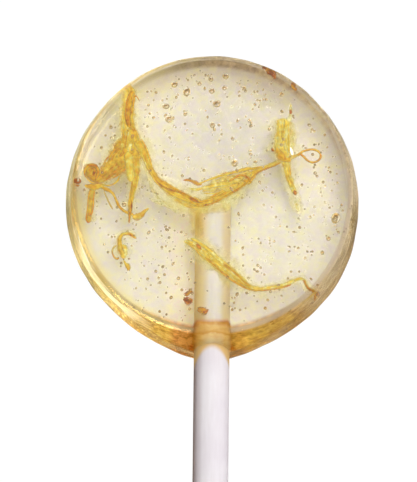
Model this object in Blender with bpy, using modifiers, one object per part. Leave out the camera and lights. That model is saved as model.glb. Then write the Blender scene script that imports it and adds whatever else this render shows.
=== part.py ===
"""Hard-candy lollipop: a clear disc cast in a drafted mould around a round paper stick.

Metres, +Z up. The disc lies on its flat poured face, which is the plane z = 0, with the smaller
moulded face up. The origin is the centre of the poured face, and the stick runs out along -Y.
"""

import math

import bmesh
import bpy

MM = 0.001

# Candy disc
THICKNESS = 8.5 * MM
BACK_RADIUS = 19.2 * MM         # outline of the poured face, where the disc is widest
BACK_ROUND = 0.4 * MM           # soft edge of the poured face
FACE_RADIUS = 17.3 * MM         # flat part of the moulded face
FACE_ROUND = 0.9 * MM           # rounded edge round the moulded face
RIM_SEGMENTS = 120
BACK_ROUND_STEPS = 3
FACE_ROUND_STEPS = 5
WALL_STEPS = 7

# Stick
STICK_RADIUS = 2.3 * MM
STICK_LENGTH = 102.0 * MM
STICK_HEIGHT = THICKNESS / 2    # height of the stick's axis above the poured face
STICK_SIDE = 0.15 * MM          # the axis passes this far to the right of the disc's centre
STICK_LEAN = math.radians(0.6)  # the stick leans this much to the left, in the disc's plane
STICK_END_ROUND = 0.35 * MM
STICK_SEGMENTS = 48
STICK_BURIED = 18.4 * MM        # length inside the candy, measured to the disc's outline

# Neck: the candy runs out a little way along the stick
NECK_REACH = 1.95 * MM
NECK_SPREAD = math.radians(50)  # the neck starts this far round the rim on each side of the stick
NECK_SOFTNESS = math.radians(3)
NECK_POWER = 2.1

# Bulge: the poured side is a little fuller to the right of the stick
BULGE_REACH = 0.36 * MM
BULGE_MIDDLE = math.radians(48)
BULGE_SPREAD = math.radians(44)

# The candy and the stick touch; their solids keep this gap
GAP = 0.3 * MM

# Finishes: colour, roughness, metallic
CANDY_FINISH = ((0.90, 0.80, 0.55, 1.0), 0.06, 0.0)
PAPER_FINISH = ((0.86, 0.84, 0.86, 1.0), 0.65, 0.0)


def clear_scene():
    for obj in list(bpy.data.objects):
        bpy.data.objects.remove(obj, do_unlink=True)


def new_collection(name):
    collection = bpy.data.collections.new(name)
    bpy.context.scene.collection.children.link(collection)
    return collection


def new_material(name, finish):
    colour, roughness, metallic = finish
    material = bpy.data.materials.new(name)
    material.use_nodes = True
    shader = material.node_tree.nodes["Principled BSDF"]
    shader.inputs["Base Color"].default_value = colour
    shader.inputs["Roughness"].default_value = roughness
    shader.inputs["Metallic"].default_value = metallic
    return material


def new_object(name, bm, collection):
    mesh = bpy.data.meshes.new(name)
    bm.to_mesh(mesh)
    bm.free()
    obj = bpy.data.objects.new(name, mesh)
    collection.objects.link(obj)
    return obj


def shade_round(obj, sharp_angle=40):
    obj.data.shade_smooth()
    obj.data.set_sharp_from_angle(angle=math.radians(sharp_angle))


def smooth_step(value):
    value = min(max(value, 0.0), 1.0)
    return value * value * (3 - 2 * value)


def rim_profile():
    """Radius and height up the disc's side: back edge, drafted wall, rounded front edge."""
    points = []
    for step in range(BACK_ROUND_STEPS + 1):
        turn = math.radians(90) * step / BACK_ROUND_STEPS
        radius = BACK_RADIUS - BACK_ROUND * (1 - math.sin(turn))
        points.append((radius, BACK_ROUND * (1 - math.cos(turn))))
    wall_top_radius = FACE_RADIUS + FACE_ROUND
    wall_height = THICKNESS - FACE_ROUND - BACK_ROUND
    for step in range(1, WALL_STEPS):
        share = step / WALL_STEPS
        radius = BACK_RADIUS + (wall_top_radius - BACK_RADIUS) * share
        points.append((radius, BACK_ROUND + wall_height * share))
    for step in range(FACE_ROUND_STEPS + 1):
        turn = math.radians(90) * step / FACE_ROUND_STEPS
        radius = FACE_RADIUS + FACE_ROUND * math.cos(turn)
        points.append((radius, THICKNESS - FACE_ROUND * (1 - math.sin(turn))))
    return points


def side_reach(angle, height):
    """How far the candy stands out from the round outline, at an angle from the stick.

    The neck is most beside the stick and the bulge to its right. Both fade upwards from the
    stick's axis to nothing at the moulded face.
    """
    from_stick = math.hypot(angle, NECK_SOFTNESS) / NECK_SPREAD
    neck = NECK_REACH * max(1 - from_stick, 0.0) ** NECK_POWER
    from_bulge = min(abs(angle - BULGE_MIDDLE) / BULGE_SPREAD, 1.0)
    bulge = BULGE_REACH * (1 + math.cos(math.pi * from_bulge)) / 2
    return (neck + bulge) * smooth_step((THICKNESS - height) / (THICKNESS - STICK_HEIGHT))


def candy_solid():
    """Loft the disc through one outline for each height of the rim profile."""
    bm = bmesh.new()
    rings = []
    for radius, height in rim_profile():
        ring = []
        for index in range(RIM_SEGMENTS):
            angle = 2 * math.pi * index / RIM_SEGMENTS - math.pi
            reach = radius + side_reach(angle, height)
            ring.append(bm.verts.new((reach * math.sin(angle), -reach * math.cos(angle), height)))
        rings.append(ring)
    for lower, upper in zip(rings, rings[1:]):
        for index in range(RIM_SEGMENTS):
            after = (index + 1) % RIM_SEGMENTS
            bm.faces.new((lower[index], lower[after], upper[after], upper[index]))
    bm.faces.new(list(reversed(rings[0])))
    bm.faces.new(rings[-1])
    return bm


def rod_solid(radius, length):
    """An upright rod of the stick's number of sides, centred on its own middle."""
    bm = bmesh.new()
    bmesh.ops.create_cone(
        bm,
        cap_ends=True,
        segments=STICK_SEGMENTS,
        radius1=radius,
        radius2=radius,
        depth=length,
    )
    return bm


def lay_along_stick(obj, inner_end, length):
    """Lay an upright rod on the stick's axis, with one end this far beyond the disc's centre."""
    obj.rotation_euler = (math.radians(90), 0.0, -STICK_LEAN)
    along = inner_end - length / 2
    side = STICK_SIDE + along * math.tan(STICK_LEAN)
    obj.location = (side, along, STICK_HEIGHT)


def build_stick(collection, inner_end):
    stick = new_object("stick", rod_solid(STICK_RADIUS, STICK_LENGTH), collection)
    lay_along_stick(stick, inner_end, STICK_LENGTH)
    edge = stick.modifiers.new("rounded ends", "BEVEL")
    edge.width = STICK_END_ROUND
    edge.segments = 2
    edge.limit_method = "ANGLE"
    edge.angle_limit = math.radians(60)
    stick.data.materials.append(new_material("white_paper", PAPER_FINISH))
    shade_round(stick)
    return stick


def build_candy(collection, cutters, inner_end):
    candy = new_object("candy", candy_solid(), collection)
    candy.data.materials.append(new_material("clear_candy", CANDY_FINISH))
    shade_round(candy)

    bore_length = 2 * STICK_BURIED
    bore = new_object("stick_bore", rod_solid(STICK_RADIUS + GAP, bore_length), cutters)
    lay_along_stick(bore, inner_end + GAP, bore_length)
    bore.hide_render = True
    bore.display_type = "WIRE"

    cut = candy.modifiers.new("seat of the stick", "BOOLEAN")
    cut.operation = "DIFFERENCE"
    cut.solver = "EXACT"
    cut.object = bore
    return candy


clear_scene()
lollipop = new_collection("lollipop")
cutting_tools = new_collection("cutters")
stick_inner_end = STICK_BURIED - BACK_RADIUS
build_candy(lollipop, cutting_tools, stick_inner_end)
build_stick(lollipop, stick_inner_end)
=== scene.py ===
import math
import random

import bmesh
import bpy
from mathutils import Matrix, Vector, noise


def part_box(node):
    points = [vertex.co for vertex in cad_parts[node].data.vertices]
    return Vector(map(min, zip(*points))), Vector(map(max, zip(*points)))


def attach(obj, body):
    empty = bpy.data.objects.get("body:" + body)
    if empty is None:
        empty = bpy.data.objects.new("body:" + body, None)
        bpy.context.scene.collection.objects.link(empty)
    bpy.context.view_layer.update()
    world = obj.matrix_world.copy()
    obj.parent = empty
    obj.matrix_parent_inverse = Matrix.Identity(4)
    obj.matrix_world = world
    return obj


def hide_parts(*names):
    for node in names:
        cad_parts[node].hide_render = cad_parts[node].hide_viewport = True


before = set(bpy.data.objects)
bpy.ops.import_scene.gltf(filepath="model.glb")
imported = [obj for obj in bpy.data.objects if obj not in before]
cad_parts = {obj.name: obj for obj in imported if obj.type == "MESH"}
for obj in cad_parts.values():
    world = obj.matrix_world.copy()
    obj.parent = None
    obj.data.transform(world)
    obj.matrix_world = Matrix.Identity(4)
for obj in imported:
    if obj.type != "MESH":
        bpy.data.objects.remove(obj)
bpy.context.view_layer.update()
MM = 0.001


# ---------------------------------------------------------------------------------------------
# The stick: a round rod of tightly rolled white paper, 4.6 mm thick and about 4 in long. Its
# inner end stands in the middle of the disc and the candy is cast round it. The cut ends show
# the rolled layers round a tiny core hole.
stick_low, stick_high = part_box("stick")
STICK_RADIUS = (stick_high.z - stick_low.z) / 2
STICK_HEIGHT = (stick_high.z + stick_low.z) / 2
STICK_LENGTH = stick_high.y - stick_low.y
STICK_LEAN = math.asin((stick_high.x - stick_low.x - 2 * STICK_RADIUS) / STICK_LENGTH)
STICK_MIDDLE = (stick_low + stick_high) / 2
STICK_SIDES = 96
STICK_EDGE = 0.3 * MM
CORE_HOLE = 0.35 * MM
CORE_DEPTH = 1.5 * MM
CANDY_END = -21.9 * MM          # where the candy's neck ends along the stick


def select_only(piece):
    bpy.ops.object.select_all(action="DESELECT")
    piece.select_set(True)
    bpy.context.view_layer.objects.active = piece


def pick_faces(piece, chosen):
    """In edit mode, select the faces whose middle and normal the test accepts."""
    bpy.ops.mesh.select_mode(type="FACE")
    bpy.ops.mesh.select_all(action="DESELECT")
    bm = bmesh.from_edit_mesh(piece.data)
    for face in bm.faces:
        face.select = chosen(face.calc_center_median(), face.normal)
    bm.select_flush_mode()
    bmesh.update_edit_mesh(piece.data)


def new_material(name):
    """A new node material: its nodes, its links and its main shader.

    The helpers below add to whichever nodes and links were made last.
    """
    material = bpy.data.materials.new(name)
    material.use_nodes = True
    tree = material.node_tree
    return material, tree.nodes, tree.links, tree.nodes["Principled BSDF"]


def set_values(node, **values):
    """Set a node's inputs by their names, with _ for each space."""
    for name, value in values.items():
        node.inputs[name.replace("_", " ")].default_value = value


def noise_value(vector, scale, detail=3.0, roughness=0.5):
    """A noise texture read at a vector; returns its value output."""
    texture = nodes.new("ShaderNodeTexNoise")
    set_values(texture, Scale=scale, Detail=detail, Roughness=roughness)
    links.new(vector, texture.inputs["Vector"])
    return texture.outputs["Fac"]


def colour_ramp(value, *stops):
    """A colour ramp fed by a value; each stop is (position, red, green, blue)."""
    ramp = nodes.new("ShaderNodeValToRGB")
    elements = ramp.color_ramp.elements
    while len(elements) < len(stops):
        elements.new(0.5)
    for element, (position, *colour) in zip(elements, stops):
        element.position = position
        element.color = (*colour, 1)
    links.new(value, ramp.inputs["Fac"])
    return ramp.outputs["Color"]


def math_node(operation, *values, clamp=False):
    """A math node; each value is a socket or a number."""
    node = nodes.new("ShaderNodeMath")
    node.operation = operation
    node.use_clamp = clamp
    for index, value in enumerate(values):
        if isinstance(value, (int, float)):
            node.inputs[index].default_value = value
        else:
            links.new(value, node.inputs[index])
    return node.outputs["Value"]


def times(value, factor, clamp=False):
    return math_node("MULTIPLY", value, factor, clamp=clamp)


def times_plus(value, factor, added, clamp=False):
    return math_node("MULTIPLY_ADD", value, factor, added, clamp=clamp)


def span(value, start, end):
    """A smooth rise from 0 to 1 as the value goes from start to end."""
    node = nodes.new("ShaderNodeMapRange")
    node.interpolation_type = "SMOOTHSTEP"
    set_values(node, From_Min=start, From_Max=end)
    links.new(value, node.inputs["Value"])
    return node.outputs["Result"]


def mix_colours(share, first, second, blend="MIX"):
    """Mix two colours; each one and the share may be a socket or a plain value."""
    node = nodes.new("ShaderNodeMix")
    node.data_type = "RGBA"
    node.blend_type = blend
    for name, value in (("Factor_Float", share), ("A_Color", first), ("B_Color", second)):
        socket = next(item for item in node.inputs if item.identifier == name)
        if isinstance(value, (int, float)):
            socket.default_value = value
        elif isinstance(value, tuple):
            socket.default_value = (*value, 1)
        else:
            links.new(value, socket)
    return next(item for item in node.outputs if item.identifier == "Result_Color")


def tinted(colour, tint, share=1.0):
    """A colour multiplied by a tint, all of it or a share."""
    return mix_colours(share, colour, tint, "MULTIPLY")


def object_position():
    """The object coordinates as a vector and as x, y and z."""
    coordinates = nodes.new("ShaderNodeTexCoord").outputs["Object"]
    axes = nodes.new("ShaderNodeSeparateXYZ")
    links.new(coordinates, axes.inputs["Vector"])
    return coordinates, axes.outputs["X"], axes.outputs["Y"], axes.outputs["Z"]


bpy.ops.object.select_all(action="DESELECT")
bpy.ops.mesh.primitive_cylinder_add(
    vertices=STICK_SIDES,
    radius=STICK_RADIUS,
    depth=STICK_LENGTH,
    end_fill_type="NGON",
)
stick = bpy.context.object
stick.name = "paper_stick"
bpy.ops.object.mode_set(mode="EDIT")
pick_faces(stick, lambda middle, normal: abs(normal.z) > 0.9)
bpy.ops.mesh.bevel(offset=STICK_EDGE, segments=3, affect="EDGES")
pick_faces(stick, lambda middle, normal: abs(normal.z) > 0.9 and middle.xy.length < STICK_EDGE)
bpy.ops.mesh.inset(thickness=STICK_RADIUS - STICK_EDGE - CORE_HOLE, use_individual=True)
pick_faces(stick, lambda middle, normal: normal.z > 0.9 and middle.xy.length < STICK_EDGE)
bpy.ops.mesh.extrude_region_move(TRANSFORM_OT_translate={"value": (0, 0, -CORE_DEPTH)})
pick_faces(stick, lambda middle, normal: abs(normal.z) < 0.1)
bpy.ops.mesh.subdivide(number_cuts=1)
bpy.ops.object.mode_set(mode="OBJECT")
stick.rotation_euler = (math.radians(90), 0, -STICK_LEAN)
stick.location = STICK_MIDDLE
bpy.ops.object.transform_apply(location=True, rotation=True, scale=True)
bpy.ops.object.shade_smooth_by_angle(angle=math.radians(35))

paper, nodes, links, shader = new_material("rolled_white_paper")
place, along_x, along_y, along_z = object_position()
stretched = nodes.new("ShaderNodeMapping")
set_values(stretched, Scale=(1.0, 0.12, 1.0))
links.new(place, stretched.inputs["Vector"])
paper_grain = noise_value(stretched.outputs["Vector"], 2600, detail=5)
clouds = noise_value(place, 260, detail=3)
outside = colour_ramp(clouds, (0.3, 0.545, 0.51, 0.53), (0.7, 0.585, 0.56, 0.57))
lean = times_plus(along_y, -math.tan(STICK_LEAN), along_x)
across = times_plus(lean, 0.5 / STICK_RADIUS, 0.5)
shadow = colour_ramp(
    across,
    (0.03, 0.34, 0.25, 0.23), (0.14, 0.74, 0.69, 0.69), (0.3, 1.0, 1.0, 1.0), (0.93, 0.97, 0.96, 0.99),
)
outside = tinted(outside, shadow)
# Inside the candy the paper has a golden syrup tint at its sides, deeper on the left side as painted shade
in_candy_tint_and_shade = colour_ramp(
    across,
    (0.05, 0.94, 0.72, 0.27), (0.26, 0.95, 0.80, 0.46), (0.46, 0.97, 0.94, 0.88), (0.74, 0.97, 0.94, 0.88),
    (0.88, 0.95, 0.82, 0.52), (0.97, 0.93, 0.80, 0.52),
)
squared = times(along_x, along_x)
from_end = times_plus(along_z, -0.45, along_y)
crept = times_plus(squared, 0.34 / MM, from_end)
stained = span(crept, CANDY_END - 1.0 * MM, CANDY_END)
buried = span(from_end, CANDY_END - 0.15 * MM, CANDY_END)
white = mix_colours(stained, outside, (0.52, 0.33, 0.11))
white = mix_colours(buried, white, in_candy_tint_and_shade)
faint = colour_ramp(paper_grain, (0.3, 0.95, 0.94, 0.93), (0.7, 1.0, 1.0, 1.0))
links.new(tinted(white, faint), shader.inputs["Base Color"])
set_values(shader, Roughness=0.62)
layers = nodes.new("ShaderNodeMapping")
set_values(layers, Location=(-STICK_MIDDLE.x, 0, -STICK_HEIGHT))
links.new(place, layers.inputs["Vector"])
rolled = nodes.new("ShaderNodeTexWave")
rolled.wave_type = "RINGS"
rolled.rings_direction = "Y"
set_values(rolled, Scale=1500)
links.new(layers.outputs["Vector"], rolled.inputs["Vector"])
relief = times_plus(rolled.outputs["Fac"], 0.5, paper_grain)
bump = nodes.new("ShaderNodeBump")
set_values(bump, Strength=0.25, Distance=0.02 * MM)
links.new(relief, bump.inputs["Height"])
links.new(bump.outputs["Normal"], shader.inputs["Normal"])
stick.data.materials.clear()
stick.data.materials.append(paper)
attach(stick, "root")
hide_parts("stick")


# ---------------------------------------------------------------------------------------------
# The petals: dried golden florets sunk in the candy, soaked half clear by the syrup. Each one is
# a few crinkled sheets with finer fibres along them, laid along routes read from the photo. They
# lie in the upper half of the disc, two of them over the stick.
STRIP_STEP = 0.16 * MM
STRIP_THICKNESS = 0.04 * MM
HALF_WIDTH = 0.58              # a strip's reach to each side, as a share of its route's width
FEATHER = 0.95                 # how far a strip's edges fade out
TAPER = 0.5 * MM               # length over which a strip's ends narrow
HALO_DROP = 0.35               # the pale yellow haze lies this far under its petal, in mm


def attribute(name):
    node = nodes.new("ShaderNodeAttribute")
    node.attribute_name = name
    return node.outputs


petal, nodes, links, shader = new_material("dried_petal")
place = nodes.new("ShaderNodeTexCoord").outputs["Object"]
blotches = noise_value(place, 1900, detail=4, roughness=0.6)
soaking = noise_value(place, 1500, detail=3, roughness=0.6)
fine = noise_value(attribute("fibre")["Vector"], 1.0, detail=4, roughness=0.6)
streak = span(fine, 0.34, 0.66)
shade = times_plus(blotches, 1.5, -0.75)
shade = math_node("ADD", shade, attribute("tint")["Fac"])
shade = times_plus(streak, 0.22, shade, clamp=True)
petal_colour = colour_ramp(
    shade,
    (0.0, 0.84, 0.82, 0.42), (0.12, 0.75, 0.64, 0.11), (0.4, 0.68, 0.48, 0.036), (0.63, 0.61, 0.34, 0.018),
    (0.8, 0.54, 0.24, 0.015), (0.9, 0.50, 0.145, 0.012), (1.0, 0.31, 0.09, 0.01),
)
links.new(petal_colour, shader.inputs["Base Color"])
dense = math_node("SUBTRACT", 1.0, attribute("sheer")["Fac"])
cover = times_plus(soaking, 1.5, 0.3)
cover = times_plus(streak, 0.35, cover)
links.new(times(dense, cover, clamp=True), shader.inputs["Alpha"])
# The petals glow faintly in their own colour: painted light that keeps them bright inside the candy
links.new(petal_colour, shader.inputs["Emission Color"])
set_values(shader, Roughness=0.5, Specular_IOR_Level=0.0, Emission_Strength=0.255)


def smooth_route(route):
    """Points about a step apart on a smooth curve through a route of (x, y, z, width) in mm."""
    stops = [Vector(stop) * MM for stop in route]
    stops = [2 * stops[0] - stops[1]] + stops + [2 * stops[-1] - stops[-2]]
    curve = []
    for before, start, end, after in zip(stops, stops[1:], stops[2:], stops[3:]):
        steps = max(2, math.ceil((end - start).length / STRIP_STEP))
        for step in range(steps):
            t = step / steps
            curve.append(
                0.5
                * (
                    2 * start
                    + (end - before) * t
                    + (2 * before - 5 * start + 4 * end - after) * t * t
                    + (3 * start - before - 3 * end + after) * t * t * t
                )
            )
    curve.append(stops[-2])
    return curve


def strip(
    route, colour, clear=0.0, curl=0.06, crinkle=0.08, ragged=0.35, across=8, edge=0.05, fade=0.25, seed=0
):
    """One crinkled strip of petal: colour 0 is pale yellow and 1 red-brown, clear 1 is all clear.

    Curl bends its sides down, crinkle folds it and ragged frays its sides, as shares of its width.
    Across is its number of faces from side to side, edge darkens its sides, and its ends fade out
    over fade, in mm.
    """
    curve = smooth_route(route)
    rows = len(curve) - 1
    bpy.ops.mesh.primitive_grid_add(x_subdivisions=across, y_subdivisions=rows, size=2)
    piece = bpy.context.object
    tints = piece.data.attributes.new("tint", "FLOAT", "POINT")
    sheers = piece.data.attributes.new("sheer", "FLOAT", "POINT")
    threads = piece.data.attributes.new("fibre", "FLOAT_VECTOR", "POINT")
    for index, vertex in enumerate(piece.data.vertices):
        row = round((vertex.co.y + 1) / 2 * rows)
        side = vertex.co.x
        middle = curve[row]
        ahead = curve[min(row + 1, rows)] - curve[max(row - 1, 0)]
        forward = Vector(ahead[:3]).normalized()
        far = row * STRIP_STEP / MM
        to_end = min(row, rows - row) * STRIP_STEP
        width = middle[3] * min(1.0, 0.2 + to_end / TAPER)
        turn = 0.5 * noise.noise(Vector((far * 0.35, seed * 3.1, 0.5)))
        sideways = forward.cross(Vector((0, 0, 1))).normalized()
        upward = sideways.cross(forward)
        out = sideways * math.cos(turn) + upward * math.sin(turn)
        up = out.cross(forward)
        fray = 1 + ragged * noise.noise(Vector((far * 1.3, seed * 7.7 + (side > 0) * 40, 2.0)))
        fray += ragged * 0.6 * noise.noise(Vector((far * 3.9, seed * 3.7 + (side > 0) * 40, 5.0)))
        fold = crinkle * noise.noise(Vector((side * 1.8, far * 0.8, seed * 5.3)))
        fold += crinkle * 0.5 * noise.noise(Vector((side * 4.0, far * 1.7, seed * 9.1)))
        height = width * (fold - curl * side * side)
        vertex.co = Vector(middle[:3]) + out * (side * width * HALF_WIDTH * fray) + up * height
        tints.data[index].value = colour + edge * abs(side) ** 3
        fading = FEATHER * max(side * side, (1 - min(to_end / (fade * MM), 1.0)) ** 2)
        sheers.data[index].value = clear + (1 - clear) * fading
        threads.data[index].vector = (side * middle[3] / MM * 5.0, far * 0.55, seed * 9.0)
    thick = piece.modifiers.new("thickness", "SOLIDIFY")
    thick.thickness = STRIP_THICKNESS
    thick.offset = 0
    bpy.ops.object.modifier_apply(modifier=thick.name)
    return piece


def fibres(route, count, colour, seed, width=0.2, clear=0.1, reach=0.95):
    """Finer threads side by side along a sheet's route, each with its own start and end."""
    chance = random.Random(seed)
    threads = []
    spare = len(route) // 3
    for number in range(count):
        share = ((number + chance.uniform(0.2, 0.8)) / count * 2 - 1) * reach
        first = chance.randint(0, spare)
        last = len(route) - chance.randint(0, spare)
        thread = []
        for index in range(first, last):
            x, y, z, broad = route[index]
            before = route[max(index - 1, 0)]
            after = route[min(index + 1, len(route) - 1)]
            run = math.hypot(after[0] - before[0], after[1] - before[1])
            off = (share + chance.uniform(-0.15, 0.15)) * broad / 2 / run
            place_x = x - (after[1] - before[1]) * off
            place_y = y + (after[0] - before[0]) * off
            place_z = z + chance.uniform(-0.1, 0.16)
            thread.append((place_x, place_y, place_z, width * chance.uniform(0.5, 1.4)))
        if len(thread) > 2:
            tone = colour + chance.uniform(-0.16, 0.2)
            threads.append(strip(thread, tone, clear, across=3, ragged=0.5, seed=seed + number))
    return threads


def halo(route, seed, grow=2.3):
    """A wide and almost clear pale yellow sheet under a strip: a yellow haze round the petal."""
    wide = [(x, y, z - HALO_DROP, width * grow + 0.3) for x, y, z, width in route]
    return strip(wide, -0.12, clear=0.76, curl=0.0, across=12, edge=0.0, fade=1.2, seed=seed)


def finish_petal(name, *strips):
    """Join a petal's strips into one piece and give it its material."""
    bpy.ops.object.select_all(action="DESELECT")
    for part in strips:
        part.select_set(True)
    bpy.context.view_layer.objects.active = strips[0]
    bpy.ops.object.join()
    joined = bpy.context.object
    joined.name = name
    joined.data.name = name
    bpy.ops.object.shade_smooth()
    joined.data.materials.clear()
    joined.data.materials.append(petal)
    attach(joined, "root")
    return joined


TRUNK = [
    (-10.5, 14.35, 5.8, 0.9), (-10.65, 13.55, 5.9, 1.45), (-10.85, 12.35, 6, 1.6), (-10.9, 11.2, 6, 1.7),
    (-10.9, 10, 6, 1.75), (-10.75, 8.85, 6, 1.95), (-10.55, 7.8, 6, 2.2), (-10.55, 6.75, 6, 2.85),
    (-10.65, 5.7, 5.9, 3.5),
]
SHOULDER = [
    (-10.6, 8.9, 6.05, 1.7), (-10.6, 7.8, 6.05, 2.2), (-10.7, 6.8, 6.0, 3.1), (-10.95, 5.8, 5.9, 3.9),
    (-11.2, 4.9, 5.8, 3.6), (-11.4, 4.1, 5.7, 2.8),
]
CORE = [
    (-10.1, 13.85, 6.1, 0.4), (-10.55, 13.25, 6.2, 0.65), (-10.75, 12.35, 6.2, 0.8),
    (-10.9, 11.45, 6.2, 0.85), (-10.95, 10.5, 6.2, 0.8), (-10.9, 9.75, 6.2, 0.65), (-10.65, 8.85, 6.1, 0.4),
]
CORE_VEIN = [
    (-10.5, 13.5, 6.3, 0.2), (-10.95, 12.6, 6.35, 0.25), (-11.15, 11.65, 6.35, 0.25),
    (-11.2, 10.75, 6.35, 0.25), (-11.05, 9.85, 6.3, 0.25), (-10.85, 9.35, 6.2, 0.15),
]
HAIR = [(-10.2, 12.7, 6.3, 0.15), (-9.85, 13.05, 6.5, 0.15), (-9.35, 12.3, 6.6, 0.1)]
WEB = [
    (-10.75, 7.55, 5.8, 2.0), (-11.2, 6.25, 5.75, 2.9), (-11.9, 4.95, 5.7, 3.1), (-12.75, 3.95, 5.6, 2.7),
    (-13.6, 3.15, 5.5, 2.1), (-14.35, 2.6, 5.4, 1.7), (-15.15, 2.05, 5.3, 1.15),
]
WEB_LOW = [
    (-10.85, 6.1, 5.5, 1.7), (-11.65, 5.05, 5.4, 2.1), (-12.55, 4.1, 5.3, 1.8), (-13.6, 3.3, 5.2, 1.3),
    (-14.5, 2.75, 5.1, 0.8),
]
WEB_FOLD = [
    (-14.5, 1.75, 5.2, 0.15), (-13.7, 1.45, 5.2, 0.25), (-12.95, 1.55, 5.2, 0.25), (-12.3, 2, 5.3, 0.25),
    (-11.9, 2.75, 5.4, 0.2),
]
BRANCH = [
    (-9.7, 7.25, 6.15, 1.3), (-8.85, 5.7, 6.3, 1.25), (-8.3, 4.25, 6.45, 0.95), (-7.75, 3.05, 6.6, 0.8),
    (-7.05, 2, 6.8, 0.85), (-5.95, 1.1, 6.9, 1.15), (-4.75, 0.35, 7, 1.35), (-3.5, -0.25, 7, 1.15),
    (-2.45, -0.7, 6.9, 1.05), (-1.55, -1.05, 6.8, 1.05), (-0.65, -0.85, 6.7, 0.9), (0.25, -0.5, 6.5, 0.65),
]
BRANCH_VEIN = [
    (-8.15, 3.45, 6.5, 0.2), (-7.65, 2.4, 6.7, 0.25), (-6.95, 1.6, 6.9, 0.3), (-6.1, 1, 7, 0.25),
    (-5.2, 0.65, 7.1, 0.3), (-4.3, 0.4, 7.1, 0.25), (-3.5, 0.1, 7.1, 0.45), (-2.85, -0.35, 7.1, 0.35),
    (-2.2, -0.7, 7.1, 0.45), (-1.55, -1, 7, 0.4),
]
LOBE = [
    (-5.85, 0.45, 6.5, 0.5), (-4.9, -0.25, 6.5, 0.9), (-3.9, -0.85, 6.5, 1.05), (-2.85, -1.25, 6.5, 0.95),
    (-1.8, -1.4, 6.5, 0.65), (-1.05, -1.4, 6.5, 0.4),
]
HANGING_PALE = [
    (-10.95, 5.85, 6.15, 0.95), (-10.8, 4.8, 6.2, 1.15), (-10.65, 3.75, 6.1, 1.1), (-10.55, 2.7, 6, 0.95),
    (-10.55, 1.8, 5.9, 0.65),
]
HANGING = [
    (-10.1, 6.1, 6.1, 1.05), (-9.85, 4.95, 6.1, 1.05), (-9.8, 3.75, 6, 0.95), (-9.85, 2.75, 5.9, 0.9),
    (-10.05, 1.7, 5.7, 0.85), (-10.25, 0.7, 5.5, 0.7), (-10.45, -0.2, 5.3, 0.6), (-10.55, -1, 5.1, 0.55),
    (-10.6, -1.75, 5, 0.55), (-10.7, -2.5, 4.9, 0.35), (-10.75, -3.15, 4.8, 0.2), (-10.75, -3.55, 4.8, 0.15),
]
WISP = [
    (-9, 4.25, 5, 0.3), (-8.15, 2.75, 5, 0.5), (-7.75, 1.1, 5, 0.6), (-6.9, -0.15, 5, 0.7),
    (-5.2, -1.45, 5, 0.7), (-4.2, -2.25, 5, 0.4),
]
WISP_LOW = [
    (-8.15, -0.2, 4.8, 0.3), (-7, -0.7, 4.8, 0.6), (-6.1, -0.95, 4.8, 0.8), (-4.4, -1.25, 4.8, 0.8),
    (-2.75, -1, 4.8, 0.4),
]
TIP = [
    (-10.45, -0.6, 5.25, 0.2), (-10.5, -1.35, 5.15, 0.35), (-10.6, -2, 5.05, 0.35),
    (-10.7, -2.8, 4.95, 0.25), (-10.75, -3.45, 4.85, 0.2),
]
finish_petal(
    "floret_left",
    halo(TRUNK, 300, 1.7),
    halo(WEB, 301, 1.5),
    halo(BRANCH, 302),
    halo(LOBE, 303),
    halo(HANGING, 304, 1.9),
    strip(TRUNK, 0.16, clear=0.3, across=12, seed=1),
    strip(SHOULDER, 0.3, clear=0.15, across=14, fade=0.9, seed=86),
    *fibres(TRUNK, 9, 0.3, seed=100),
    strip(CORE, 0.52, clear=0.2, seed=2),
    *fibres(CORE, 4, 0.6, seed=110, width=0.18),
    *fibres(SHOULDER, 6, 0.34, seed=87, width=0.3, clear=0.3),
    strip(CORE_VEIN, 0.65, across=3, seed=3),
    strip(HAIR, 0.8, across=3, seed=5),
    strip(WEB, 0.34, clear=0.25, crinkle=0.2, across=14, seed=6),
    *fibres(WEB, 11, 0.4, seed=120),
    strip(WEB_LOW, 0.2, clear=0.5, crinkle=0.2, across=12, seed=4),
    *fibres(WEB_LOW, 6, 0.3, seed=130, width=0.16, clear=0.3),
    strip(WEB_FOLD, 0.4, clear=0.3, across=3, seed=7),
    strip(BRANCH, 0.28, clear=0.25, across=10, seed=8),
    *fibres(BRANCH, 6, 0.3, seed=140, width=0.16),
    strip(BRANCH_VEIN, 0.66, clear=0.4, across=4, seed=9),
    strip(LOBE, 0.05, clear=0.62, seed=10),
    *fibres(LOBE, 3, 0.15, seed=150, width=0.14, clear=0.4),
    strip(HANGING_PALE, 0.18, clear=0.2, seed=11),
    strip(HANGING, 0.34, clear=0.25, seed=12),
    *fibres(HANGING, 5, 0.3, seed=160, width=0.16),
    strip(TIP, 0.75, clear=0.1, across=4, seed=13),
    strip(WISP, -0.1, clear=0.72, fade=1.0, seed=14),
    strip(WISP_LOW, -0.1, clear=0.72, fade=1.0, seed=29),
)

CURL = [
    (-14.5, 1.9, 5.2, 0.8), (-15.15, 2.4, 5.3, 1.45), (-15.6, 3.05, 5.5, 1.75), (-15.65, 3.65, 5.7, 1.6),
    (-15.45, 4.1, 5.9, 1.05),
]
CURL_RIM = [
    (-16.4, 2.45, 5.9, 0.25), (-16.5, 3.2, 6, 0.35), (-16.2, 3.75, 6.1, 0.4), (-15.65, 4, 6.3, 0.45),
    (-15.05, 3.9, 6.4, 0.45), (-14.75, 3.35, 6.4, 0.45), (-14.8, 2.7, 6.3, 0.4), (-15.15, 2.05, 6.1, 0.3),
]
CURL_VEIN = [
    (-15.6, 3.65, 6.4, 0.2), (-15.2, 3.45, 6.45, 0.3), (-15.25, 3, 6.45, 0.3), (-15.5, 2.6, 6.4, 0.25),
    (-15.85, 2.65, 6.35, 0.15),
]
KNOT = [
    (-16.55, 1.5, 5.2, 0.4), (-16.05, 1.35, 5.3, 0.65), (-15.3, 1.3, 5.3, 0.9), (-14.6, 1.4, 5.2, 0.8),
    (-14.1, 1.35, 5.1, 0.4),
]
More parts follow.
